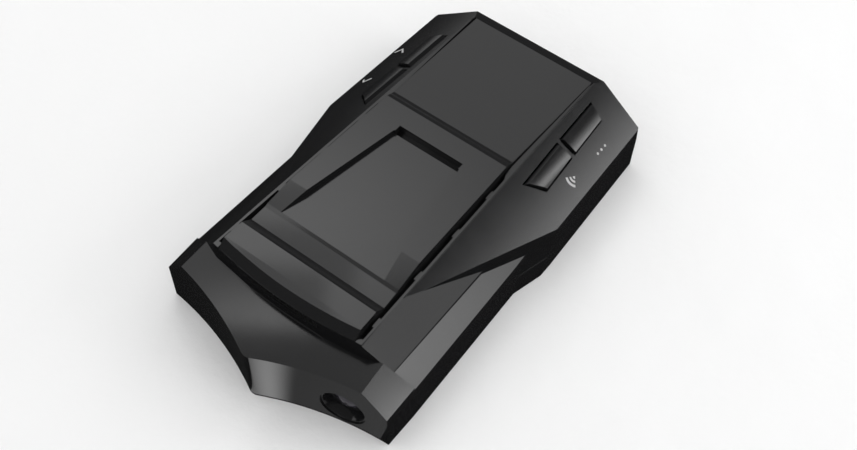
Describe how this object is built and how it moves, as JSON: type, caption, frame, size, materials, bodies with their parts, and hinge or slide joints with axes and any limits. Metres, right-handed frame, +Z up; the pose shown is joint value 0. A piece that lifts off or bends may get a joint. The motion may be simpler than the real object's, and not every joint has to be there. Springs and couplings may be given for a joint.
{
  "type": "radar detector",
  "caption": "Windscreen radar detector with a faceted plastic case, bracket slide plate, wing buttons, laser lens in the nose and display window.",
  "frame": {"origin": "centre of the bounding box's bottom face, under the middle of the case", "axes": "+X to the right seen from the nose, +Y from the nose (towards the road) to the display end (towards the driver), +Z up"},
  "size_m": [0.0748, 0.124, 0.0294],
  "materials": {
    "case_plastic": "satin black",
    "base_plastic": "matte black",
    "nose_plastic": "satin black",
    "plate_plastic": "satin graphite",
    "vent_plastic": "matte black",
    "bezel_plastic": "gloss black",
    "window_glass": "smoked",
    "display_glass": "gloss",
    "board_green": "solder mask",
    "button_plastic": "satin graphite",
    "plunger_plastic": "matte",
    "switch_metal": "satin",
    "lens_ring": "gloss black",
    "lens_glass": "coated",
    "chip_black": "matte",
    "can_metal": "tinned",
    "horn_metal": "die-cast",
    "board_white": "laminate",
    "antenna_ceramic": "ceramic",
    "speaker_metal": "satin",
    "gasket_foam": "foam",
    "socket_plastic": "matte",
    "pin_metal": "plated",
    "rating_foil": "foil",
    "screw_black": "black oxide",
    "screw_bright": "zinc"
  },
  "bodies": {
    "case": {"upper_housing": "case_plastic", "lower_housing": "base_plastic", "nose_cover": "nose_plastic", "slide_plate": "plate_plastic", "top_panel": "plate_plastic", "vent_insert": "vent_plastic", "display_bezel": "bezel_plastic", "display_window": "window_glass", "display_module": "display_glass", "display_board": "board_green", "key_board_left": "board_green", "key_board_right": "board_green", "key_switches_left": "switch_metal", "key_switches_right": "switch_metal", "lens_bezel": "lens_ring", "laser_lens": "lens_glass", "laser_sensor": "chip_black", "laser_board": "board_green", "main_board": "board_green", "processor": "chip_black", "memory_chip": "chip_black", "capacitors": "can_metal", "shield_can": "can_metal", "horn_antenna": "horn_metal", "microwave_board": "board_white", "gps_antenna": "antenna_ceramic", "wireless_module": "can_metal", "loudspeaker": "speaker_metal", "speaker_gasket": "gasket_foam", "backup_cell": "can_metal", "power_socket": "socket_plastic", "power_contact": "pin_metal", "usb_socket": "can_metal", "rating_plate": "rating_foil", "case_screws": "screw_black", "board_screws": "screw_bright"},
    "button_up": {"button_up": "button_plastic", "plunger_up": "plunger_plastic"},
    "button_down": {"button_down": "button_plastic", "plunger_down": "plunger_plastic"},
    "button_menu": {"button_menu": "button_plastic", "plunger_menu": "plunger_plastic"},
    "button_wireless": {"button_wireless": "button_plastic", "plunger_wireless": "plunger_plastic"}
  },
  "joints": [
    {"name": "press_up", "type": "slide", "parent": "case", "child": "button_up", "axis": [0.5558, -0.0436, -0.8302], "range_m": [0, 0.0005], "stiffness_N_per_m": 2000, "springref_m": -0.0005},
    {"name": "press_down", "type": "slide", "parent": "case", "child": "button_down", "axis": [0.5558, -0.0436, -0.8302], "range_m": [0, 0.0005], "stiffness_N_per_m": 2000, "springref_m": -0.0005},
    {"name": "press_menu", "type": "slide", "parent": "case", "child": "button_menu", "axis": [-0.5558, -0.0436, -0.8302], "range_m": [0, 0.0005], "stiffness_N_per_m": 2000, "springref_m": -0.0005},
    {"name": "press_wireless", "type": "slide", "parent": "case", "child": "button_wireless", "axis": [-0.5558, -0.0436, -0.8302], "range_m": [0, 0.0005], "stiffness_N_per_m": 2000, "springref_m": -0.0005}
  ]
}
